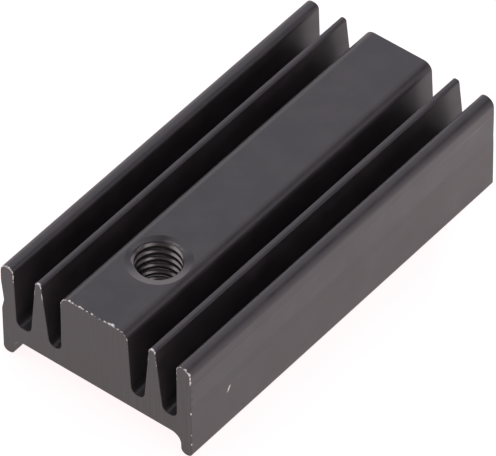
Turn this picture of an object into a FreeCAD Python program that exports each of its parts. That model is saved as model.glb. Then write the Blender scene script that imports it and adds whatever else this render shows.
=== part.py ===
import FreeCAD, Part
import math
import os

# Heat sink for one transistor with a flat metal tab. It is a single aluminium extrusion, sawn square
# to length, with one tapped hole through the thick middle block.
# X runs across the section and Y along the extrusion, with the tapped hole near the end at -Y.
# Z is up from the ends of the two legs, and the origin is midway between them, at mid length.
# Sizes are millimetres and degrees.

# The bar
length = 25.4
overall_width = 12.7

# Heights above the ends of the legs
wall_height = 6.35
fin_height = 6.4
block_height = 6.5

# The web that joins everything, and the channel under it that takes the transistor's tab
leg_depth = 1.2
leg_thickness = 0.74
leg_end_radius = 0.33
web_thickness = 1.15
channel_corner_radius = 0.6

# The middle block, a little wider at its foot so that it leaves the die
block_top_width = 4.5
block_foot_width = 4.7
block_corner_radius = 0.5

# The two thin fins, which taper to a round tip
fin_offset = 3.82
fin_foot_width = 1.25
fin_tip_width = 0.34
fin_tip_radius = 0.17
slot_floor_radius = 0.42

# The two outer walls, with a nearly full round along the top
wall_foot_thickness = 0.98
wall_top_thickness = 0.95
wall_top_radius = 0.45

# The waist in each outer face: the face leans in from the shoulder down to the waist, then steps out
shoulder_drop = 1.1
waist_depth = 0.1
waist_above_floor = 1.0
waist_step = 0.4
shoulder_radius = 1.5
waist_radius = 0.5
step_radius = 0.3

# The tapped hole, coarse M3, countersunk at both mouths. A wide, shallow dish round the upper mouth
# is where the burr that the tap raised was taken off.
hole_from_end = 5.2
thread_minor_diameter = 2.55
countersink_diameter = 2.7
countersink_angle = 90.0
dish_width = 0.45
dish_depth = 0.15
cut_clearance = 1.0

half_width = overall_width / 2
slot_floor = leg_depth + web_thickness
waist_height = slot_floor + waist_above_floor


def half_section():
    """Corners of the section right of the middle, from the block's top round to the channel."""
    block = [
        (block_top_width / 2, block_height, block_corner_radius),
        (block_foot_width / 2, slot_floor, slot_floor_radius),
    ]
    fin = [
        (fin_offset - fin_foot_width / 2, slot_floor, slot_floor_radius),
        (fin_offset - fin_tip_width / 2, fin_height, fin_tip_radius),
        (fin_offset + fin_tip_width / 2, fin_height, fin_tip_radius),
        (fin_offset + fin_foot_width / 2, slot_floor, slot_floor_radius),
    ]
    wall = [
        (half_width - wall_foot_thickness, slot_floor, slot_floor_radius),
        (half_width - wall_top_thickness, wall_height, wall_top_radius),
        (half_width, wall_height, wall_top_radius),
        (half_width, wall_height - shoulder_drop, shoulder_radius),
        (half_width - waist_depth, waist_height, waist_radius),
        (half_width, waist_height - waist_step, step_radius),
    ]
    leg = [
        (half_width, 0, leg_end_radius),
        (half_width - leg_thickness, 0, leg_end_radius),
        (half_width - leg_thickness, leg_depth, channel_corner_radius),
    ]
    return block + fin + wall + leg


def rounded_corner(before, corner, after, radius):
    """Start, middle and end of the arc that turns a corner. It takes up to half of the shorter run."""
    back = before - corner
    on = after - corner
    half_angle = back.getAngle(on) / 2
    reach = min(radius / math.tan(half_angle), back.Length / 2, on.Length / 2)
    radius = reach * math.tan(half_angle)
    back.normalize()
    on.normalize()
    inward = (back + on).normalize()
    middle = corner + inward * (radius / math.sin(half_angle) - radius)
    return corner + back * reach, middle, corner + on * reach


def rounded_outline(corners, y):
    """Closed wire through corners given as (x, z, radius), with every corner turned by an arc."""
    points = [FreeCAD.Vector(x, y, z) for x, z, radius in corners]
    count = len(points)
    arcs = []
    for i in range(count):
        arcs.append(rounded_corner(points[i - 1], points[i], points[(i + 1) % count], corners[i][2]))
    edges = []
    for i in range(count):
        start, middle, end = arcs[i]
        next_start = arcs[(i + 1) % count][0]
        edges.append(Part.Arc(start, middle, end).toShape())
        if end.distanceToPoint(next_start) > 1e-6:
            edges.append(Part.LineSegment(end, next_start).toShape())
    return Part.Wire(edges)


def extruded_bar():
    """The whole section, pushed through the die and sawn to length."""
    right = half_section()
    left = [(-x, z, radius) for x, z, radius in reversed(right)]
    outline = rounded_outline(right + left, -length / 2)
    return Part.Face(outline).extrude(FreeCAD.Vector(0, length, 0))


def tapped_hole():
    """What the drill and the countersinks take out, from the channel up through the block."""
    bore = thread_minor_diameter / 2
    mouth = countersink_diameter / 2
    rim = mouth + dish_width
    countersink_depth = (mouth - bore) / math.tan(math.radians(countersink_angle / 2))
    dish_floor = block_height - dish_depth
    profile = [
        (0, leg_depth - cut_clearance),
        (mouth, leg_depth - cut_clearance),
        (mouth, leg_depth),
        (bore, leg_depth + countersink_depth),
        (bore, dish_floor - countersink_depth),
        (mouth, dish_floor),
        (rim, block_height),
        (rim, block_height + cut_clearance),
        (0, block_height + cut_clearance),
    ]
    y = hole_from_end - length / 2
    points = [FreeCAD.Vector(r, y, z) for r, z in profile]
    outline = Part.makePolygon(points + points[:1])
    return Part.Face(outline).revolve(FreeCAD.Vector(0, y, 0), FreeCAD.Vector(0, 0, 1), 360)


os.makedirs("parts", exist_ok=True)
heat_sink = extruded_bar().cut(tapped_hole()).removeSplitter()
heat_sink.exportStep("parts/heat_sink.step")
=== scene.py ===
import math
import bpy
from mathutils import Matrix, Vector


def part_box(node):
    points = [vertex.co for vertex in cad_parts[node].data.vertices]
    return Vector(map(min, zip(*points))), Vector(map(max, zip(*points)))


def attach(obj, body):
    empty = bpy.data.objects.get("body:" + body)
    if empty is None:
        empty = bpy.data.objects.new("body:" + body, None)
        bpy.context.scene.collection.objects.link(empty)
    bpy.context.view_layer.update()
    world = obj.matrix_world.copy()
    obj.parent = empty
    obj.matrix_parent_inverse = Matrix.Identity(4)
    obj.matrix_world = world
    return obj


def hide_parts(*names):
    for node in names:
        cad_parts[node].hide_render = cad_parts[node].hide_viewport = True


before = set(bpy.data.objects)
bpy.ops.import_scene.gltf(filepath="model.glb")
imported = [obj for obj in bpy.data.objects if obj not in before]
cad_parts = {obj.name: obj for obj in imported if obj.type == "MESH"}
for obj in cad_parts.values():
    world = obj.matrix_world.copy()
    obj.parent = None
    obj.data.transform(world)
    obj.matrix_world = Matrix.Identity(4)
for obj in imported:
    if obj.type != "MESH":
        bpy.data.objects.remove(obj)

from types import SimpleNamespace

import bmesh
import bpy
from bpy.props import FloatProperty, FloatVectorProperty, IntProperty, PointerProperty, StringProperty
from bpy.types import Node, NodeSocket, Operator, Panel, PropertyGroup
from mathutils import Matrix, Vector

bl_info = {
    "name": "Heat sink",
    "version": (1, 0, 0),
    "blender": (4, 5, 0),
    "location": "View3D > Sidebar > Heat sink",
    "description": "Models, taps and anodises a small extruded heat sink",
    "category": "Object",
}

# The bar stands on its two legs, with X across its section, Y along it and Z up. The tapped hole is near
# the end at -Y, which is the front. It is modelled in millimetres and brought to metres at the end.
MM = 0.001
NODE = "heat_sink"
BODY = "root"
PIECE = "heat_sink_bar"
LOWEST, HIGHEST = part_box(NODE)
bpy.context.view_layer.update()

# Two measures closer than this are the same, and vertices closer than this are merged, in millimetres
HAIR = 0.002
WELD = 0.0005
# A face whose unit normal reaches these along an axis faces that way, or is square to it
FACING = 0.9
SQUARE = 0.999


class BarSettings(PropertyGroup):
    """Sizes of the extruded section and of its sawn ends"""

    length: FloatProperty(
        name="Length", description="Length of the bar between its sawn ends",
        default=HIGHEST.y - LOWEST.y, unit="LENGTH")
    width: FloatProperty(
        name="Width", description="Width over the two outer walls",
        default=HIGHEST.x - LOWEST.x, unit="LENGTH")
    height: FloatProperty(
        name="Block height", description="Height of the middle block above the leg ends",
        default=HIGHEST.z - LOWEST.z, unit="LENGTH")
    fin_height: FloatProperty(
        name="Fin height", description="Height of the two thin fins above the leg ends",
        default=6.4 * MM, unit="LENGTH")
    wall_height: FloatVectorProperty(
        name="Wall heights", description="Heights of the outer walls at -X and +X above the leg ends",
        default=(6.35 * MM, 6.37 * MM), size=2, unit="LENGTH")
    leg_depth: FloatProperty(
        name="Leg depth", description="How far the legs reach below the web",
        default=1.2 * MM, unit="LENGTH")
    leg_thickness: FloatProperty(
        name="Leg thickness", description="Thickness of each leg",
        default=0.74 * MM, unit="LENGTH")
    leg_radius: FloatProperty(
        name="Leg end radius", description="Radius of the corners at the end of each leg",
        default=0.33 * MM, unit="LENGTH")
    web_thickness: FloatProperty(
        name="Web thickness", description="Thickness of the plate that joins the fins",
        default=1.15 * MM, unit="LENGTH")
    channel_radius: FloatProperty(
        name="Channel radius", description="Radius between the web's underside and each leg",
        default=0.6 * MM, unit="LENGTH")
    block_top: FloatVectorProperty(
        name="Block half widths", description="Half widths of the middle block at its top, at -X and +X",
        default=(2.28 * MM, 2.18 * MM), size=2, unit="LENGTH")
    block_foot: FloatProperty(
        name="Block foot width", description="Width of the middle block at the slot floors",
        default=4.7 * MM, unit="LENGTH")
    block_radius: FloatVectorProperty(
        name="Block radii", description="Radii along the top edges of the middle block at -X and +X",
        default=(0.62 * MM, 0.55 * MM), size=2, unit="LENGTH")
    fin_offset: FloatVectorProperty(
        name="Fin offsets", description="Distances of the fins at -X and +X from the middle of the bar",
        default=(3.78 * MM, 3.82 * MM), size=2, unit="LENGTH")
    fin_foot: FloatProperty(
        name="Fin foot width", description="Width of each fin at the slot floors",
        default=1.25 * MM, unit="LENGTH")
    fin_tip: FloatVectorProperty(
        name="Fin tip widths", description="Widths of the fins at -X and +X at their tips",
        default=(0.37 * MM, 0.4 * MM), size=2, unit="LENGTH")
    fin_radius: FloatProperty(
        name="Fin tip radius", description="Radius of the corners at each fin's tip",
        default=0.17 * MM, unit="LENGTH")
    floor_radius: FloatProperty(
        name="Slot floor radius", description="Radius between a slot's floor and its walls",
        default=0.42 * MM, unit="LENGTH")
    wall_foot: FloatProperty(
        name="Wall foot width", description="Thickness of each outer wall at the slot floors",
        default=0.98 * MM, unit="LENGTH")
    wall_top: FloatVectorProperty(
        name="Wall top widths", description="Thicknesses of the outer walls at -X and +X at their tops",
        default=(0.89 * MM, 0.92 * MM), size=2, unit="LENGTH")
    inner_radius: FloatVectorProperty(
        name="Inner top radii", description="Radii of the inner top edges of the walls at -X and +X",
        default=(0.33 * MM, 0.35 * MM), size=2, unit="LENGTH")
    outer_radius: FloatVectorProperty(
        name="Outer top radii", description="Radii of the outer top edges of the walls at -X and +X",
        default=(0.45 * MM, 0.54 * MM), size=2, unit="LENGTH")
    top_lean: FloatVectorProperty(
        name="Top lean", description="How far the outer faces at -X and +X lean in at the top",
        default=(0.03 * MM, 0.015 * MM), size=2, unit="LENGTH")
    shoulder_height: FloatProperty(
        name="Shoulder height", description="Height of each outer face's widest line above the leg ends",
        default=5.25 * MM, unit="LENGTH")
    shoulder_radius: FloatProperty(
        name="Shoulder radius", description="Radius at each outer face's widest line",
        default=4.0 * MM, unit="LENGTH")
    waist_depth: FloatVectorProperty(
        name="Waist depths", description="How far the outer faces at -X and +X lie in at their waists",
        default=(0.16 * MM, 0.015 * MM), size=2, unit="LENGTH")
    waist_rise: FloatProperty(
        name="Waist rise", description="Height of the waist above the slot floors",
        default=1.4 * MM, unit="LENGTH")
    waist_radius: FloatProperty(
        name="Waist radius", description="Radius in the bottom of the waist",
        default=0.5 * MM, unit="LENGTH")
    waist_step: FloatProperty(
        name="Waist step", description="Height over which the face steps out again below the waist",
        default=0.67 * MM, unit="LENGTH")
    step_radius: FloatProperty(
        name="Step radius", description="Radius at the foot of the waist's step",
        default=0.3 * MM, unit="LENGTH")
    front_edge: FloatProperty(
        name="Front edge", description="Width of the rubbed edge round the front sawn end",
        default=0.04 * MM, unit="LENGTH")
    far_edge: FloatProperty(
        name="Far edge", description="Width of the softer edge round the far sawn end",
        default=0.04 * MM, unit="LENGTH")
    arc_segments: IntProperty(
        name="Arc segments", description="Facets in each rounded corner of the section",
        default=10, min=2)


class HoleSettings(PropertyGroup):
    """Sizes of the tapped hole"""

    from_end: FloatProperty(
        name="From the end", description="Distance of the hole's axis from the front sawn end",
        default=5.2 * MM, unit="LENGTH")
    pitch: FloatProperty(
        name="Pitch", description="Rise of the thread in one turn",
        default=0.5 * MM, unit="LENGTH")
    minor_diameter: FloatProperty(
        name="Minor diameter", description="Diameter over the thread's crests",
        default=2.55 * MM, unit="LENGTH")
    major_diameter: FloatProperty(
        name="Major diameter", description="Diameter at the thread's roots",
        default=2.92 * MM, unit="LENGTH")
    root_width: FloatProperty(
        name="Root width", description="Width of the flat at the thread's roots",
        default=0.0625 * MM, unit="LENGTH")
    flank_angle: FloatProperty(
        name="Flank angle", description="Angle between a flank of the thread and a plane across the hole",
        default=math.radians(30), subtype="ANGLE")
    crest_softness: FloatProperty(
        name="Crest softness", description="Width of the break at each edge of a crest",
        default=0.022 * MM, unit="LENGTH")
    start_angle: FloatProperty(
        name="Start angle", description="Turn of the whole thread about the hole's axis",
        default=math.radians(-58), subtype="ANGLE")
    mouth_diameter: FloatProperty(
        name="Mouth diameter", description="Diameter of the countersink at each mouth",
        default=2.6 * MM, unit="LENGTH")
    countersink_angle: FloatProperty(
        name="Countersink angle", description="Included angle of the countersinks",
        default=math.radians(90), subtype="ANGLE")
    dish_width: FloatProperty(
        name="Dish width", description="Width of the shallow dish round the upper mouth",
        default=0.5 * MM, unit="LENGTH")
    dish_depth: FloatProperty(
        name="Dish depth", description="Depth of the dish where the countersink starts",
        default=0.17 * MM, unit="LENGTH")
    dish_shift: FloatVectorProperty(
        name="Dish shift", description="How far the dish runs off the hole's axis",
        default=(0.07 * MM, -0.03 * MM), size=2, unit="LENGTH")
    ring_facets: IntProperty(
        name="Ring facets", description="Facets round the hole",
        default=96, min=16)


class FinishSettings(PropertyGroup):
    """Colours of the anodised surface and of the bare metal, and of the painted highlight on the saw's
    ridges, as sRGB hex values
    """

    dye: StringProperty(
        name="Dye", description="Colour of the black dye in the anodised film",
        default="363234")
    worn_dye: StringProperty(
        name="Thin dye", description="Colour where the film is a little thinner",
        default="413C3E")
    cut_dye: StringProperty(
        name="Cut dye", description="Colour between the saw's lines",
        default="2C292A")
    # Painted highlight: the lighter colour painted on the saw's ridges, where they catch the light
    ridge_highlight: StringProperty(
        name="Cut line", description="Colour along the ridges that the saw left",
        default="4B4647")
    bare_metal: StringProperty(
        name="Bare metal", description="Colour of bare aluminium",
        default="D6D2CF")
    tapped_metal: StringProperty(
        name="Tapped metal", description="Colour of the dulled metal in the thread",
        default="827E7C")
    speck: StringProperty(
        name="Speck", description="Colour of the dark specks on the outer face",
        default="0D0D0D")


class StudioSettings(PropertyGroup):
    """Floor, light and camera"""

    floor_size: FloatProperty(
        name="Floor size", description="Side of the square floor",
        default=0.8, unit="LENGTH")
    floor_colour: StringProperty(
        name="Floor colour", description="Colour of the table's matt sheet, as an sRGB hex value",
        default="8C8A8B")
    floor_light: StringProperty(
        name="Floor light", description="Colour of the light that comes up through the sheet, as a hex value",
        default="FBF2F2")
    lamp_place: FloatVectorProperty(
        name="Lamp place", description="Place of the lamp under the sheet, beside the bar's far end",
        default=(22 * MM, 18 * MM), size=2, unit="LENGTH")
    lamp_reach: FloatProperty(
        name="Lamp reach", description="Distance from the lamp at which its extra glow ends",
        default=19 * MM, unit="LENGTH")
    lamp_gain: FloatProperty(
        name="Lamp gain", description="How much brighter the sheet is over the lamp, as a share of its light",
        default=0.5, subtype="FACTOR")
    tent_light: FloatVectorProperty(
        name="Tent light", description="Light from the cloth of the tent between its panels",
        default=(0.15, 0.125, 0.145), subtype="COLOR", size=3)
    lens: FloatProperty(
        name="Lens", description="Focal length of the long lens",
        default=566.2, unit="CAMERA")
    azimuth: FloatProperty(
        name="Azimuth", description="Angle of the camera round the bar, from the front towards +X",
        default=math.radians(39.502), subtype="ANGLE")
    elevation: FloatProperty(
        name="Elevation", description="Angle of the camera above the floor",
        default=math.radians(45.135), subtype="ANGLE")
    roll: FloatProperty(
        name="Roll", description="Turn of the camera about its own axis",
        default=math.radians(-0.881), subtype="ANGLE")
    distance: FloatProperty(
        name="Distance", description="Distance of the camera from the origin, along its axis",
        default=411.595 * MM, unit="LENGTH")
    offset: FloatVectorProperty(
        name="Offset", description="Sideways and upward place of the camera, across its own axis",
        default=(-0.149 * MM, 2.01 * MM), size=2, unit="LENGTH")


def in_millimetres(settings):
    """The settings by name, with every length in millimetres."""
    values = SimpleNamespace()
    for prop in settings.bl_rna.properties:
        if prop.type in {"FLOAT", "INT"}:
            value = getattr(settings, prop.identifier)
            if prop.unit == "LENGTH":
                value = Vector(value) / MM if prop.is_array else value / MM
            setattr(values, prop.identifier, value)
    return values


def start_piece(add, name, **place):
    """Add a primitive with nothing else selected, put its place into its mesh, and edit it."""
    bpy.ops.object.select_all(action="DESELECT")
    add(**place)
    piece = bpy.context.object
    piece.name = name
    piece.data.name = name
    bpy.ops.object.transform_apply(location=True, rotation=True, scale=True)
    bpy.ops.object.mode_set(mode="EDIT")
    return piece


def pick(kind, test):
    """In edit mode, select only the vertices, edges or faces that pass a test."""
    bpy.ops.mesh.select_mode(type=kind)
    bpy.ops.mesh.select_all(action="DESELECT")
    data = bpy.context.edit_object.data
    mesh = bmesh.from_edit_mesh(data)
    mesh.normal_update()
    elements = {"VERT": mesh.verts, "EDGE": mesh.edges, "FACE": mesh.faces}[kind]
    chosen = [element for element in elements if test(element)]
    if not chosen:
        raise RuntimeError("no part of the mesh passes this test")
    for element in chosen:
        element.select_set(True)
    bmesh.update_edit_mesh(data)


def near(a, b, tolerance=HAIR):
    """Whether two measures in millimetres are the same to within a hair."""
    return abs(a - b) < tolerance


def middle(edge):
    """The point half way along an edge."""
    return (edge.verts[0].co + edge.verts[1].co) / 2


def cut_faces(test, place, direction):
    """Cut the faces that pass a test along a plane."""
    pick("FACE", test)
    bpy.ops.mesh.bisect(plane_co=place, plane_no=direction, use_fill=False)


def draw_out(test, height):
    """Extrude the faces that pass a test up or down."""
    pick("FACE", test)
    bpy.ops.mesh.extrude_region_move(TRANSFORM_OT_translate={"value": (0, 0, height)})


def narrow(factor, x):
    """Scale what is selected across the section, about one x."""
    bpy.ops.transform.resize(value=(factor, 1, 1), center_override=(x, 0, 0))


def model_section(s):
    """Shape the web's plate into the whole section: block, fins and walls above it, legs below it."""
    half_width = s.width / 2
    floor = s.leg_depth + s.web_thickness
    wall_foot_x = half_width - s.wall_foot
    leg_x = half_width - s.leg_thickness

    def on_floor(face):
        return face.normal.z > FACING and near(face.calc_center_median().z, floor)

    for wall, side in enumerate((-1, 1)):
        fin_edges = (s.fin_offset[wall] - s.fin_foot / 2, s.fin_offset[wall] + s.fin_foot / 2)
        for x in (s.block_foot / 2, *fin_edges, wall_foot_x):
            cut_faces(on_floor, (side * x, 0, 0), (1, 0, 0))

    draw_out(lambda f: on_floor(f) and abs(f.calc_center_median().x) < s.block_foot / 2, s.height - floor)
    for wall, side in enumerate((-1, 1)):
        pick("VERT", lambda v: near(v.co.x, side * s.block_foot / 2) and near(v.co.z, s.height))
        bpy.ops.transform.translate(value=(side * (s.block_top[wall] - s.block_foot / 2), 0, 0))
    for wall, side in enumerate((-1, 1)):
        fin_x = side * s.fin_offset[wall]
        draw_out(lambda f: on_floor(f) and near(f.calc_center_median().x, fin_x), s.fin_height - floor)
        narrow(s.fin_tip[wall] / s.fin_foot, fin_x)
        rise = s.wall_height[wall] - floor
        draw_out(lambda f: on_floor(f) and side * f.calc_center_median().x > wall_foot_x, rise)
        narrow(s.wall_top[wall] / s.wall_foot, side * half_width)

    def under(face):
        return face.normal.z < -FACING

    for side in (-1, 1):
        cut_faces(under, (side * leg_x, 0, 0), (1, 0, 0))
    draw_out(lambda f: under(f) and abs(f.calc_center_median().x) > leg_x, -s.leg_depth)

    def outer(face):
        return abs(face.normal.x) > FACING and near(abs(face.calc_center_median().x), half_width)

    waist = floor + s.waist_rise
    for z in (s.shoulder_height, waist, waist - s.waist_step):
        cut_faces(outer, (0, 0, z), (0, 0, 1))
    for wall, side in enumerate((-1, 1)):
        for z, inset in ((s.wall_height[wall], s.top_lean[wall]), (waist, s.waist_depth[wall])):
            pick("VERT", lambda v: near(v.co.x, side * half_width) and near(v.co.z, z))
            narrow(1 - inset / half_width, 0)

    # Joins the flat strips that the cuts left
    bpy.ops.mesh.select_all(action="SELECT")
    bpy.ops.mesh.dissolve_limited(angle_limit=math.radians(0.1))


def round_corners(s, side, wall):
    """Round every edge that runs along one side of the bar, each with its own radius."""
    half_width = s.width / 2
    floor = s.leg_depth + s.web_thickness
    waist = floor + s.waist_rise
    fin_x = s.fin_offset[wall]
    corners = (
        (s.block_top[wall], s.height, s.block_radius[wall]),
        (s.block_foot / 2, floor, s.floor_radius),
        (fin_x - s.fin_foot / 2, floor, s.floor_radius),
        (fin_x - s.fin_tip[wall] / 2, s.fin_height, s.fin_radius),
        (fin_x + s.fin_tip[wall] / 2, s.fin_height, s.fin_radius),
        (fin_x + s.fin_foot / 2, floor, s.floor_radius),
        (half_width - s.wall_foot, floor, s.floor_radius),
        (half_width - s.wall_top[wall], s.wall_height[wall], s.inner_radius[wall]),
        (half_width - s.top_lean[wall], s.wall_height[wall], s.outer_radius[wall]),
        (half_width, s.shoulder_height, s.shoulder_radius),
        (half_width - s.waist_depth[wall], waist, s.waist_radius),
        (half_width, waist - s.waist_step, s.step_radius),
        (half_width, 0, s.leg_radius),
        (half_width - s.leg_thickness, 0, s.leg_radius),
        (half_width - s.leg_thickness, s.leg_depth, s.channel_radius),
    )
    run = [(0, s.height), *[(x, z) for x, z, radius in corners], (0, s.leg_depth)]
    for i, (x, z, radius) in enumerate(corners):
        before, corner, after = [Vector(point) for point in run[i:i + 3]]
        reach = radius / math.tan((before - corner).angle(after - corner) / 2)
        pick("EDGE", lambda e: near(middle(e).x, side * x) and near(middle(e).z, z) and near(middle(e).y, 0))
        bpy.ops.mesh.bevel(
            affect="EDGES", offset_type="OFFSET", offset=reach, segments=s.arc_segments, profile=0.5)


def break_end_edges(s):
    """Take the sharp edge off the outline of each sawn end."""
    for y, width in ((-s.length / 2, s.front_edge), (s.length / 2, s.far_edge)):
        pick("EDGE", lambda e: near(e.verts[0].co.y, y) and near(e.verts[1].co.y, y))
        bpy.ops.mesh.bevel(affect="EDGES", offset_type="OFFSET", offset=width, segments=3, profile=0.5)


def turned_cutter(name, rings, x, y, facets):
    """A turned solid for cutting, through rings given as (radius, z), on an upright axis at x, y."""
    radius, z = rings[0]
    cutter = start_piece(
        bpy.ops.mesh.primitive_circle_add, name, vertices=facets, radius=radius,
        fill_type="NGON", location=(x, y, z))
    bpy.ops.mesh.select_all(action="SELECT")
    for next_radius, next_z in rings[1:]:
        bpy.ops.mesh.extrude_region_move(TRANSFORM_OT_translate={"value": (0, 0, next_z - z)})
        factor = next_radius / radius
        bpy.ops.transform.resize(value=(factor, factor, 1), center_override=(x, y, next_z))
        radius, z = next_radius, next_z
    bpy.ops.mesh.select_all(action="SELECT")
    bpy.ops.mesh.normals_make_consistent(inside=False)
    bpy.ops.object.mode_set(mode="OBJECT")
    return cutter


def thread_cutter(h, low, high, y):
    """A tap's shape: a rod whose turns leave the thread in the bore, from low to high.

    One pitch of its outline is shaped from the edge of a plane and wound up the axis, a turn too far at both
    ends, and is then cut off square.
    """
    minor = h.minor_diameter / 2
    major = h.major_diameter / 2
    flank = (major - minor) * math.tan(h.flank_angle)
    crest = h.pitch - h.root_width - 2 * flank
    turns = math.ceil((high - low) / h.pitch) + 2
    start = low - h.pitch
    profile = (
        (minor, 0),
        (minor, crest / 2),
        (major, crest / 2 + flank),
        (major, h.pitch - crest / 2 - flank),
        (minor, h.pitch - crest / 2),
        (minor, h.pitch),
    )
    cutter = start_piece(
        bpy.ops.mesh.primitive_plane_add, "thread_cutter", size=h.pitch,
        location=(minor + h.pitch / 2, 0, start + h.pitch / 2), rotation=(math.pi / 2, 0, 0))
    pick("VERT", lambda v: v.co.x > minor + h.pitch / 2)
    bpy.ops.mesh.delete(type="VERT")
    bpy.ops.mesh.select_all(action="SELECT")
    bpy.ops.mesh.subdivide(number_cuts=len(profile) - 2)
    spacing = h.pitch / (len(profile) - 1)
    for i in reversed(range(len(profile))):
        radius, z = profile[i]
        pick("VERT", lambda v: near(v.co.x, minor) and near(v.co.z, start + i * spacing))
        bpy.ops.transform.translate(value=(radius - minor, 0, z - i * spacing))
    pick("VERT", lambda v: not near(v.co.z, start) and not near(v.co.z, start + h.pitch))
    bpy.ops.mesh.bevel(affect="VERTICES", offset_type="OFFSET", offset=h.crest_softness, segments=2)
    bpy.ops.object.mode_set(mode="OBJECT")
    apply_modifier(
        cutter, "SCREW", axis="Z", angle=2 * math.pi, screw_offset=h.pitch, iterations=turns,
        steps=h.ring_facets, render_steps=h.ring_facets)
    bpy.ops.object.mode_set(mode="EDIT")
    bpy.ops.mesh.select_all(action="SELECT")
    bpy.ops.mesh.remove_doubles(threshold=WELD)
    bpy.ops.mesh.bisect(plane_co=(0, 0, low), plane_no=(0, 0, 1), use_fill=True, clear_inner=True)
    bpy.ops.mesh.select_all(action="SELECT")
    bpy.ops.mesh.bisect(plane_co=(0, 0, high), plane_no=(0, 0, 1), use_fill=True, clear_outer=True)
    bpy.ops.mesh.select_all(action="SELECT")
    bpy.ops.mesh.normals_make_consistent(inside=False)
    bpy.ops.transform.rotate(value=-h.start_angle, orient_axis="Z", center_override=(0, 0, 0))
    bpy.ops.transform.translate(value=(0, y, 0))
    bpy.ops.object.mode_set(mode="OBJECT")
    return cutter


def apply_modifier(piece, kind, **settings):
    """Finish a piece with a modifier, and apply it."""
    modifier = piece.modifiers.new(kind.title(), kind)
    for name, value in settings.items():
        setattr(modifier, name, value)
    bpy.context.view_layer.objects.active = piece
    bpy.ops.object.modifier_apply(modifier=modifier.name)


def take_out(piece, cutter):
    """Cut one solid out of a piece, and throw the cutter away."""
    apply_modifier(piece, "BOOLEAN", operation="DIFFERENCE", solver="EXACT", object=cutter)
    bpy.data.meshes.remove(cutter.data)


def add_node(tree, kind, inputs=None, **settings):
    """Add a shader node with its settings. An input given as a node or a socket is linked to it."""
    node = tree.nodes.new("ShaderNode" + kind)
    for name, value in settings.items():
        setattr(node, name, value)
    for key, value in (inputs or {}).items():
        if isinstance(value, Node):
            value = value.outputs[0]
        if isinstance(value, NodeSocket):
            tree.links.new(value, node.inputs[key])
        else:
            node.inputs[key].default_value = value
    return node


# Sockets of the Mix node when it mixes colours
MIX_FACTOR, MIX_A, MIX_B, MIX_RESULT = 0, 6, 7, 2


def linear_rgba(hex_colour):
    """The linear RGBA of an sRGB hex colour."""
    channels = [int(hex_colour[i:i + 2], 16) / 255 for i in (0, 2, 4)]
    return (*[c / 12.92 if c <= 0.04045 else ((c + 0.055) / 1.055) ** 2.4 for c in channels], 1.0)


def new_material(name):
    """An empty material, its node tree, and the object's coordinates in millimetres."""
    material = bpy.data.materials.new(name)
    material.use_nodes = True
    tree = material.node_tree
    tree.nodes.clear()
    place = add_node(tree, "TexCoord").outputs["Object"]
    place = add_node(tree, "Mapping", {"Vector": place, "Scale": (1 / MM, 1 / MM, 1 / MM)})
    return material, tree, place


def pattern(tree, place, size, detail=2.0, stretch=(1, 1, 1), seed=0.0):
    """A random pattern whose features have a size in millimetres, and are longer along a stretched axis."""
    scale = [1 / (size * longer) for longer in stretch]
    moved = add_node(tree, "Mapping", {"Vector": place, "Location": (seed, seed, seed), "Scale": scale})
    return add_node(tree, "TexNoise", {"Vector": moved, "Scale": 1.0, "Detail": detail})


# Small marks that handling left: middle, half size and turn about X. The first is the scratch on the right
# face and the second the burr on the block's front edge. The others are nicks on the front edges.
BARE_MARKS = (
    ((6.35, -9.62, 2.72), (0.1, 0.075, 0.24), math.radians(-35)),
    ((1.155, -12.63, 6.5), (0.15, 0.07, 0.1), 0),
    ((-3.78, -12.66, 6.38), (0.16, 0.08, 0.08), 0),
    ((3.82, -12.66, 6.38), (0.16, 0.08, 0.08), 0),
    ((-2.1, -12.68, 6.34), (0.12, 0.06, 0.12), 0),
    ((6.35, -12.7, 3.29), (0.08, 0.05, 0.09), 0),
    ((6.35, -12.7, 1.68), (0.08, 0.05, 0.05), 0),
    ((6.35, -12.7, 1.02), (0.08, 0.05, 0.08), 0),
    ((6.26, -12.66, 6.1), (0.1, 0.07, 0.1), 0),
    ((6.34, -12.67, 5.6), (0.1, 0.04, 0.12), 0),
)
# Dark specks on the right face, the last three of them close to its front edge
DARK_MARKS = (
    ((6.35, 7.77, 5.85), (0.1, 0.1, 0.08), 0),
    ((6.35, 8.22, 3.65), (0.1, 0.08, 0.1), 0),
    ((6.35, -8.53, 0.62), (0.1, 0.12, 0.09), 0),
    ((6.35, -12.6, 4.9), (0.1, 0.07, 0.12), 0),
    ((6.35, -12.6, 4.3), (0.1, 0.07, 0.16), 0),
    ((6.35, -12.6, 3.7), (0.1, 0.07, 0.12), 0),
)
# A distance that is past every mark, in half sizes of a mark
OUTSIDE_ALL_MARKS = 2.0

# The wear along the front edges sets in between two heights above the leg ends. Its greatest width and the
# width over which it fades out are in millimetres too.
WEAR_STARTS, WEAR_IS_FULL = 5.2, 6.2
WEAR_WIDTH, WEAR_FADE = 0.12, 0.012

# The worn lip in the dish lies between two radii and ends where the sine of its angle falls. Each pair holds
# where it is gone and where it is full.
LIP_INSIDE, LIP_OUTSIDE, LIP_ENDS = (1.40, 1.42), (1.53, 1.50), (0.88, 0.96)

# Divides the height away, so that a length is a distance from the hole's axis
FLATTEN = 1000


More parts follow.
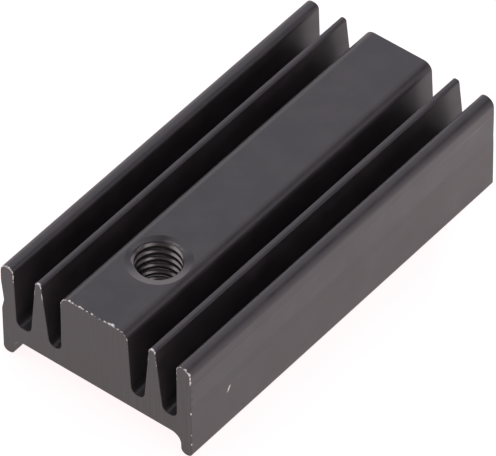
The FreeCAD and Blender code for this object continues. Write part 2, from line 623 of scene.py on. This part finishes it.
def marks(tree, place, spots):
    """A mask of small ragged marks on the surface, each given as (middle, half size, turn about X)."""
    nearest = OUTSIDE_ALL_MARKS
    for centre, half_size, tilt in spots:
        local = add_node(
            tree, "Mapping",
            {"Vector": place, "Location": centre, "Rotation": (tilt, 0, 0), "Scale": half_size},
            vector_type="TEXTURE")
        distance = add_node(tree, "VectorMath", {0: local}, operation="LENGTH").outputs["Value"]
        nearest = add_node(tree, "Math", {0: nearest, 1: distance}, operation="MINIMUM")
    ragged = add_node(
        tree, "MapRange",
        {"Value": pattern(tree, place, size=0.06, detail=3.0), "From Min": 0.3, "From Max": 0.7,
         "To Min": -0.5, "To Max": 0.5})
    distance = add_node(tree, "Math", {0: nearest, 1: ragged}, operation="ADD")
    return add_node(tree, "MapRange", {"Value": distance, "From Min": 1.0, "From Max": 0.7})


def edge_wear(tree, place):
    """A mask of bare metal along the upper front edges, in broken runs of uneven width."""
    apart = add_node(tree, "SeparateXYZ", {"Vector": place})
    from_front = add_node(tree, "Math", {0: apart.outputs["Y"], 1: LOWEST.y / MM}, operation="SUBTRACT")
    near_top = add_node(
        tree, "MapRange", {"Value": apart.outputs["Z"], "From Min": WEAR_STARTS, "From Max": WEAR_IS_FULL})
    width = add_node(
        tree, "MapRange",
        {"Value": pattern(tree, place, size=0.19, detail=5.0, seed=3.0), "From Min": 0.46, "From Max": 0.7,
         "To Max": WEAR_WIDTH})
    width = add_node(tree, "Math", {0: width, 1: near_top}, operation="MULTIPLY")
    inside = add_node(tree, "Math", {0: width, 1: from_front}, operation="SUBTRACT")
    return add_node(tree, "MapRange", {"Value": inside, "From Max": WEAR_FADE})


def finish_surface(tree, colour, metallic, roughness, height, depth):
    """The surface's shader, with the fine relief of a pattern that is so many millimetres deep."""
    relief = add_node(tree, "Bump", {"Height": height, "Strength": 1.0, "Distance": depth * MM})
    shader = add_node(
        tree, "BsdfPrincipled",
        {"Base Color": colour, "Metallic": metallic, "Roughness": roughness, "Normal": relief})
    add_node(tree, "OutputMaterial", {"Surface": shader})


def black_anodised_skin(f):
    """Extruded aluminium, etched matt and dyed black in the anodising bath.

    It is dark and half matt. The die leaves lines about 0.08 mm apart along the bar, the dye is uneven over a
    millimetre or two, and there are dark specks. The pits of the etch are about 0.02 mm wide, too fine to
    show, and are drawn 0.1 mm wide.
    """
    material, tree, place = new_material("black_anodised_skin")
    die_lines = pattern(tree, place, size=0.08, stretch=(1, 150, 1))
    pits = pattern(tree, place, size=0.1)
    mottle = pattern(tree, place, size=1.4, detail=4.0)
    thin = add_node(tree, "MapRange", {"Value": mottle, "From Min": 0.4, "From Max": 0.7})
    bare = add_node(
        tree, "Math", {0: edge_wear(tree, place), 1: marks(tree, place, BARE_MARKS)}, operation="MAXIMUM")
    colour = linear_rgba(f.dye)
    for share, over in (
            (thin, f.worn_dye), (marks(tree, place, DARK_MARKS), f.speck), (bare, f.bare_metal)):
        colour = add_node(
            tree, "Mix", {MIX_FACTOR: share, MIX_A: colour, MIX_B: linear_rgba(over)},
            data_type="RGBA").outputs[MIX_RESULT]
    roughness = add_node(
        tree, "MapRange",
        {"Value": mottle, "From Min": 0.3, "From Max": 0.7, "To Min": 0.34, "To Max": 0.48})
    height = add_node(tree, "Math", {0: die_lines, 1: 0.7}, operation="MULTIPLY")
    height = add_node(tree, "Math", {0: pits, 1: 0.3, 2: height}, operation="MULTIPLY_ADD")
    finish_surface(tree, colour, bare, roughness, height, depth=0.005)
    return material


def black_anodised_saw_cut(f):
    """The sawn ends, anodised after the cut.

    The blade leaves upright lines about 0.12 mm apart. Their ridges are painted a lighter colour, a painted
    highlight where they catch the light, and the lines fade towards -X.
    """
    material, tree, place = new_material("black_anodised_saw_cut")
    lines = pattern(tree, place, size=0.12, detail=3.0, stretch=(1, 1, 25))
    across = add_node(tree, "SeparateXYZ", {"Vector": place}).outputs["X"]
    strength = add_node(
        tree, "MapRange", {"Value": across, "From Min": -2.0, "From Max": 4.5, "To Min": 0.25})
    lines = add_node(tree, "Math", {0: lines, 1: 0.5}, operation="SUBTRACT")
    lines = add_node(tree, "Math", {0: lines, 1: strength, 2: 0.5}, operation="MULTIPLY_ADD")
    # Painted highlight: the ridges of the saw's lines are painted in the lighter ridge colour
    ridges = add_node(tree, "MapRange", {"Value": lines, "From Min": 0.35, "From Max": 0.7})
    colour = add_node(
        tree, "Mix", {MIX_FACTOR: ridges, MIX_A: linear_rgba(f.cut_dye), MIX_B: linear_rgba(f.ridge_highlight)},
        data_type="RGBA").outputs[MIX_RESULT]
    roughness = add_node(
        tree, "MapRange",
        {"Value": lines, "From Min": 0.3, "From Max": 0.7, "To Min": 0.36, "To Max": 0.56})
    finish_surface(tree, colour, 0.0, roughness, lines, depth=0.012)
    return material


def rubbed_anodised_edge(f):
    """The broken edge round the front end, where the film has worn through to metal that glints in places.

    The dents that handling left in it are about 0.12 mm wide.
    """
    material, tree, place = new_material("rubbed_anodised_edge")
    dents = pattern(tree, place, size=0.12, detail=3.0)
    bare = add_node(
        tree, "Math", {0: edge_wear(tree, place), 1: marks(tree, place, BARE_MARKS)}, operation="MAXIMUM")
    colour = add_node(
        tree, "Mix", {MIX_FACTOR: bare, MIX_A: linear_rgba(f.worn_dye), MIX_B: linear_rgba(f.bare_metal)},
        data_type="RGBA").outputs[MIX_RESULT]
    finish_surface(tree, colour, bare, 0.4, dents, depth=0.006)
    return material


def black_anodised_turning(f, hole_y):
    """The drilled wall, the countersinks and the dish, cut smooth and dyed with the rest.

    It is glossier than the etched skin, and the tools' feed leaves rings about 0.06 mm apart. In the dish, on
    the far side of the mouth, a thin broken arc is worn to metal.
    """
    material, tree, place = new_material("black_anodised_turning")
    rings = pattern(tree, place, size=0.06, stretch=(12, 12, 1))
    from_axis = add_node(
        tree, "Mapping", {"Vector": place, "Location": (0, hole_y, 0), "Scale": (1, 1, FLATTEN)},
        vector_type="TEXTURE")
    radius = add_node(tree, "VectorMath", {0: from_axis}, operation="LENGTH").outputs["Value"]
    behind = add_node(tree, "SeparateXYZ", {"Vector": from_axis}).outputs["Y"]
    sine = add_node(tree, "Math", {0: behind, 1: radius}, operation="DIVIDE")
    lip = add_node(
        tree, "MapRange",
        {"Value": pattern(tree, place, size=0.2, detail=3.0), "From Min": 0.35, "From Max": 0.65,
         "To Min": 0.1, "To Max": 0.75})
    for value, (gone, full) in ((radius, LIP_INSIDE), (radius, LIP_OUTSIDE), (sine, LIP_ENDS)):
        mask = add_node(tree, "MapRange", {"Value": value, "From Min": gone, "From Max": full})
        lip = add_node(tree, "Math", {0: lip, 1: mask}, operation="MULTIPLY")
    colour = add_node(
        tree, "Mix", {MIX_FACTOR: lip, MIX_A: linear_rgba(f.dye), MIX_B: linear_rgba(f.tapped_metal)},
        data_type="RGBA").outputs[MIX_RESULT]
    finish_surface(tree, colour, lip, 0.2, rings, depth=0.003)
    return material


def freshly_tapped_thread(f):
    """The flanks and roots of the thread, tapped after the bar was anodised: bare metal, a little dulled.

    It mirrors the light in bright and dark bands, and the tap's teeth leave streaks about 0.05 mm wide along
    the turns.
    """
    material, tree, place = new_material("freshly_tapped_thread")
    streaks = pattern(tree, place, size=0.05, stretch=(12, 12, 1))
    roughness = add_node(
        tree, "MapRange",
        {"Value": streaks, "From Min": 0.3, "From Max": 0.7, "To Min": 0.16, "To Max": 0.3})
    finish_surface(tree, linear_rgba(f.tapped_metal), 1.0, roughness, streaks, depth=0.003)
    return material


# The lit panels of the tent: azimuth from the front towards +X, elevation, half angle, half angle of
# the evenly lit middle, and linear colour. The level faces of the bar mirror the first one to the camera.
TENT_PANELS = (
    (219.5, 45, 45, 0, (0.65, 0.69, 0.81)),
    (225, 8, 38, 0, (1.1, 1.01, 1.0)),
    (106, 65, 20, 13, (1.2, 1.15, 1.2)),
    (118, 10, 32, 14, (1.13, 1.07, 1.13)),
    (168, 56, 14, 0, (0.5, 0.47, 0.47)),
    (192, 66, 22, 0, (0.73, 0.69, 0.72)),
    (298, 50, 33, 22, (0.98, 0.96, 0.98)),
    (180, 8, 38, 0, (0.54, 0.51, 0.56)),
    (0, 8, 38, 0, (0.56, 0.57, 0.55)),
)


def tent_world(s):
    """A light tent all round the bar: its plain cloth, and soft panels that are brighter."""
    world = bpy.data.worlds.new("light_tent")
    world.use_nodes = True
    tree = world.node_tree
    tree.nodes.clear()
    outward = add_node(tree, "TexCoord").outputs["Generated"]
    light = tuple(s.tent_light)
    for azimuth, elevation, half_angle, core_angle, colour in TENT_PANELS:
        around = math.radians(azimuth)
        up = math.radians(elevation)
        centre = (math.sin(around) * math.cos(up), -math.cos(around) * math.cos(up), math.sin(up))
        closeness = add_node(tree, "VectorMath", {0: outward, 1: centre}, operation="DOT_PRODUCT")
        edge = math.cos(math.radians(half_angle))
        core = math.cos(math.radians(core_angle))
        glow = add_node(
            tree, "MapRange", {"Value": closeness.outputs["Value"], "From Min": edge, "From Max": core},
            interpolation_type="SMOOTHSTEP")
        light = add_node(tree, "VectorMath", {0: glow, 1: colour, 2: light}, operation="MULTIPLY_ADD")
    shader = add_node(tree, "Background", {"Color": light, "Strength": 1.0})
    add_node(tree, "OutputWorld", {"Surface": shader})
    return world


def lit_sheet(s):
    """The matt acrylic sheet of a light table, lit from below so that nothing on it throws a shadow."""
    material = bpy.data.materials.new("lit_acrylic_sheet")
    material.use_nodes = True
    tree = material.node_tree
    tree.nodes.clear()
    place = add_node(tree, "TexCoord").outputs["Object"]
    apart = add_node(tree, "VectorMath", {0: place, 1: (*s.lamp_place, 0)}, operation="DISTANCE")
    strength = add_node(
        tree, "MapRange",
        {"Value": apart.outputs["Value"], "From Min": s.lamp_reach, "From Max": 0.0,
         "To Min": 1.0, "To Max": 1.0 + s.lamp_gain})
    shader = add_node(
        tree, "BsdfPrincipled",
        {"Base Color": linear_rgba(s.floor_colour), "Roughness": 0.9, "Specular IOR Level": 0.2,
         "Emission Color": linear_rgba(s.floor_light), "Emission Strength": strength})
    add_node(tree, "OutputMaterial", {"Surface": shader})
    return material


class HEATSINK_OT_bar(Operator):
    """Model the extruded bar from the plate of its web, round it and break the edges of its sawn ends"""

    bl_idname = "heat_sink.bar"
    bl_label = "Extruded bar"

    def execute(self, context):
        s = in_millimetres(context.scene.heat_sink_bar)
        start_piece(
            bpy.ops.mesh.primitive_cube_add, PIECE, size=1,
            location=(0, 0, s.leg_depth + s.web_thickness / 2), scale=(s.width, s.length, s.web_thickness))
        model_section(s)
        for wall, side in enumerate((-1, 1)):
            round_corners(s, side, wall)
        break_end_edges(s)
        bpy.ops.object.mode_set(mode="OBJECT")
        return {"FINISHED"}


class HEATSINK_OT_tapped_hole(Operator):
    """Drill, tap and countersink the hole through the middle block and the web"""

    bl_idname = "heat_sink.tapped_hole"
    bl_label = "Tapped hole"

    def execute(self, context):
        s = in_millimetres(context.scene.heat_sink_bar)
        h = in_millimetres(context.scene.heat_sink_hole)
        bar = bpy.data.objects[PIECE]
        y = h.from_end - s.length / 2
        # How far a cutter reaches past the metal, and the radius at which a countersink's cone ends
        clear = 0.4
        tip = 0.8 * h.minor_diameter / 2
        mouth = h.mouth_diameter / 2
        steepness = math.tan(h.countersink_angle / 2)
        take_out(bar, thread_cutter(h, s.leg_depth - clear, s.height + clear, y))
        dish_floor = s.height - h.dish_depth
        dish = (
            (mouth + 2 * h.dish_width, dish_floor + 2 * h.dish_depth),
            (mouth, dish_floor),
            (tip, dish_floor - (mouth - tip) / steepness),
        )
        shift_x, shift_y = h.dish_shift
        take_out(bar, turned_cutter("dish_cutter", dish, shift_x, y + shift_y, h.ring_facets))
        lower = (
            (mouth + clear * steepness, s.leg_depth - clear),
            (tip, s.leg_depth + (mouth - tip) / steepness),
        )
        take_out(bar, turned_cutter("lower_mouth_cutter", lower, 0, y, h.ring_facets))

        # The dish's two rims stay crisp
        slope = math.cos(math.atan(h.dish_depth / h.dish_width))

        def in_dish(face):
            place = face.calc_center_median()
            return near(face.normal.z, slope, 0.004) and math.hypot(place.x, place.y - y) < s.block_foot / 2

        bpy.ops.object.mode_set(mode="EDIT")
        pick("EDGE", lambda e: [in_dish(face) for face in e.link_faces].count(True) == 1)
        bpy.ops.mesh.mark_sharp()
        bpy.ops.object.mode_set(mode="OBJECT")
        return {"FINISHED"}


class HEATSINK_OT_finish(Operator):
    """Bring the bar to metres, smooth its rounds and give each surface its finish"""

    bl_idname = "heat_sink.finish"
    bl_label = "Anodised finish"

    def execute(self, context):
        s = in_millimetres(context.scene.heat_sink_bar)
        h = in_millimetres(context.scene.heat_sink_hole)
        f = context.scene.heat_sink_finish
        bar = bpy.data.objects[PIECE]
        bpy.ops.object.select_all(action="DESELECT")
        bar.select_set(True)
        context.view_layer.objects.active = bar
        bpy.ops.object.mode_set(mode="EDIT")
        front = -s.length / 2
        hole_y = h.from_end - s.length / 2
        bore = h.minor_diameter / 2
        root = h.major_diameter / 2
        # The dish runs a little off the hole's axis, and the middle of a flat facet a little off its radius
        rim = h.mouth_diameter / 2 + h.dish_width + 0.12
        slack = 0.01

        def sawn(face):
            return abs(face.normal.y) > SQUARE and near(abs(face.calc_center_median().y), s.length / 2)

        def rubbed(face):
            return face.calc_center_median().y < front + s.front_edge and not sawn(face)

        def turned(face):
            place = face.calc_center_median()
            return math.hypot(place.x, place.y - hole_y) < rim and abs(face.normal.z) < SQUARE

        def tapped(face):
            place = face.calc_center_median()
            radius = math.hypot(place.x, place.y - hole_y)
            flank = near(abs(face.normal.z), math.cos(h.flank_angle), 0.04)
            return near(radius, root, slack) or (flank and bore + slack < radius < root)

        finishes = (
            (black_anodised_skin(f), None),
            (black_anodised_saw_cut(f), sawn),
            (rubbed_anodised_edge(f), rubbed),
            (black_anodised_turning(f, hole_y), turned),
            (freshly_tapped_thread(f), tapped),
        )
        for index, (material, test) in enumerate(finishes):
            bar.data.materials.append(material)
            if test:
                pick("FACE", test)
                bar.active_material_index = index
                bpy.ops.object.material_slot_assign()
        bpy.ops.mesh.select_all(action="SELECT")
        bpy.ops.transform.resize(value=(MM, MM, MM), center_override=(0, 0, 0))
        bpy.ops.object.mode_set(mode="OBJECT")
        # The rounds, the broken edges and the thread's crests turn less than this, and the countersinks more
        bpy.ops.object.shade_smooth_by_angle(angle=math.radians(34))
        apply_modifier(bar, "WEIGHTED_NORMAL", keep_sharp=True)
        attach(bar, BODY)
        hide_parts(NODE)
        return {"FINISHED"}


class HEATSINK_OT_studio(Operator):
    """Lay the pale floor, light the tent and set up the camera"""

    bl_idname = "heat_sink.studio"
    bl_label = "Studio"

    def execute(self, context):
        s = context.scene.heat_sink_studio
        bpy.ops.object.select_all(action="DESELECT")
        bpy.ops.mesh.primitive_plane_add(size=s.floor_size, location=(0, 0, 0))
        floor = context.object
        floor.name = "light_table"
        floor.data.materials.append(lit_sheet(s))

        context.scene.world = tent_world(s)

        bpy.ops.object.camera_add()
        camera = context.object
        camera.name = "long_lens_camera"
        camera.data.sensor_width = 36.0
        camera.data.lens = s.lens
        camera.data.clip_start = 0.01
        camera.data.clip_end = 10.0
        turn = (
            Matrix.Rotation(s.azimuth, 4, "Z")
            @ Matrix.Rotation(math.pi / 2 - s.elevation, 4, "X")
            @ Matrix.Rotation(s.roll, 4, "Z"))
        camera.matrix_world = turn @ Matrix.Translation((s.offset[0], s.offset[1], s.distance))
        context.scene.camera = camera
        context.scene.view_settings.view_transform = "Standard"
        context.scene.view_settings.look = "None"
        return {"FINISHED"}


class HEATSINK_PT_panel(Panel):
    """Lists the steps in the order in which they are run"""

    bl_idname = "HEATSINK_PT_panel"
    bl_label = "Heat sink"
    bl_space_type = "VIEW_3D"
    bl_region_type = "UI"
    bl_category = "Heat sink"

    def draw(self, context):
        for step in STEPS:
            self.layout.operator(step.bl_idname)


SETTINGS = {
    "heat_sink_bar": BarSettings,
    "heat_sink_hole": HoleSettings,
    "heat_sink_finish": FinishSettings,
    "heat_sink_studio": StudioSettings,
}
STEPS = (HEATSINK_OT_bar, HEATSINK_OT_tapped_hole, HEATSINK_OT_finish, HEATSINK_OT_studio)
CLASSES = (*SETTINGS.values(), *STEPS, HEATSINK_PT_panel)


def register():
    """Register the classes and keep each group of settings on the scene."""
    for cls in CLASSES:
        bpy.utils.register_class(cls)
    for name, cls in SETTINGS.items():
        setattr(bpy.types.Scene, name, PointerProperty(type=cls))


def unregister():
    """Take the settings and the classes away again."""
    for name in SETTINGS:
        delattr(bpy.types.Scene, name)
    for cls in reversed(CLASSES):
        bpy.utils.unregister_class(cls)


def main():
    """Build the heat sink and its studio."""
    register()
    bpy.ops.heat_sink.bar()
    bpy.ops.heat_sink.tapped_hole()
    bpy.ops.heat_sink.finish()
    bpy.ops.heat_sink.studio()


if __name__ == "__main__":
    main()
